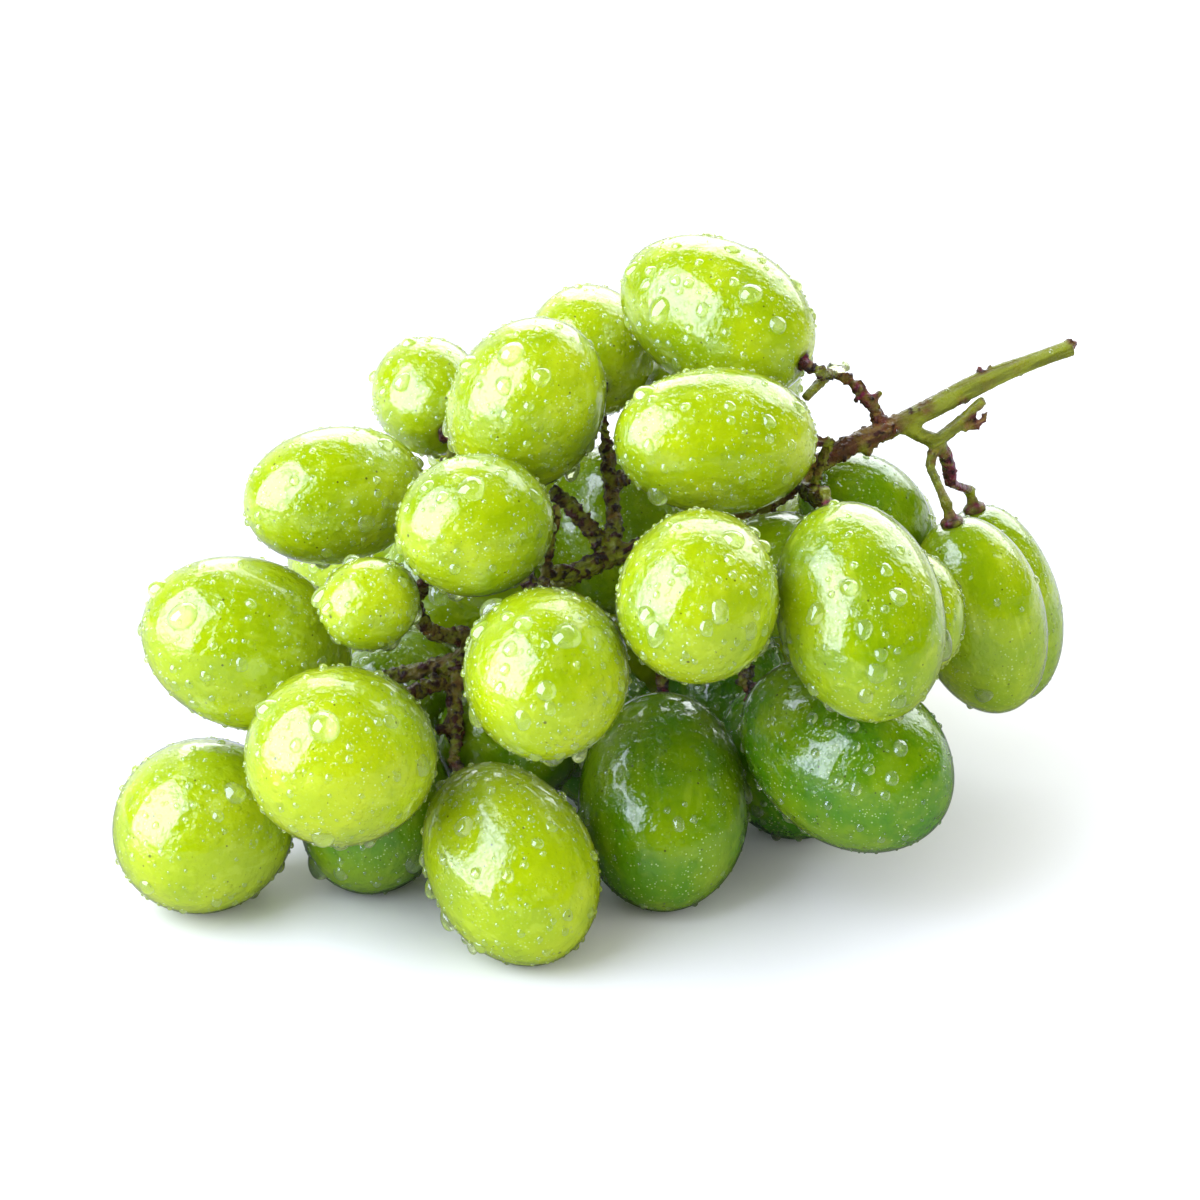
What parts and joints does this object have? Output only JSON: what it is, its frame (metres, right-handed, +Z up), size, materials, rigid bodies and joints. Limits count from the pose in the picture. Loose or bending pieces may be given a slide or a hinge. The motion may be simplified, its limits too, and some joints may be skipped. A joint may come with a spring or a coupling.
{
  "type": "bunch of grapes",
  "caption": "Bunch of oval green table grapes lying on its side: round-ended berries on short stalks round a branching woody stem with a cut stalk at one end.",
  "frame": {"origin": "middle of the footprint, on the surface that the bunch lies on", "axes": "+Z up; +X along the bunch towards the cut stalk; -Y towards the side that faces the viewer"},
  "size_m": [0.121, 0.096, 0.0758],
  "materials": {
    "berry_skin": "gloss",
    "stem_bark": "matte"
  },
  "bodies": {
    "root": {"berry_01": "berry_skin", "berry_02": "berry_skin", "berry_03": "berry_skin", "berry_04": "berry_skin", "berry_05": "berry_skin", "berry_06": "berry_skin", "berry_07": "berry_skin", "berry_08": "berry_skin", "berry_09": "berry_skin", "berry_10": "berry_skin", "berry_11": "berry_skin", "berry_12": "berry_skin", "berry_13": "berry_skin", "berry_14": "berry_skin", "berry_15": "berry_skin", "berry_16": "berry_skin", "berry_17": "berry_skin", "berry_18": "berry_skin", "berry_19": "berry_skin", "berry_20": "berry_skin", "berry_21": "berry_skin", "berry_22": "berry_skin", "berry_23": "berry_skin", "berry_24": "berry_skin", "berry_25": "berry_skin", "berry_26": "berry_skin", "berry_27": "berry_skin", "berry_28": "berry_skin", "berry_29": "berry_skin", "berry_30": "berry_skin", "berry_31": "berry_skin", "berry_32": "berry_skin", "berry_33": "berry_skin", "berry_34": "berry_skin", "berry_35": "berry_skin", "berry_36": "berry_skin", "berry_37": "berry_skin", "berry_38": "berry_skin", "berry_39": "berry_skin", "berry_40": "berry_skin", "stem": "stem_bark"}
  },
  "joints": []
}
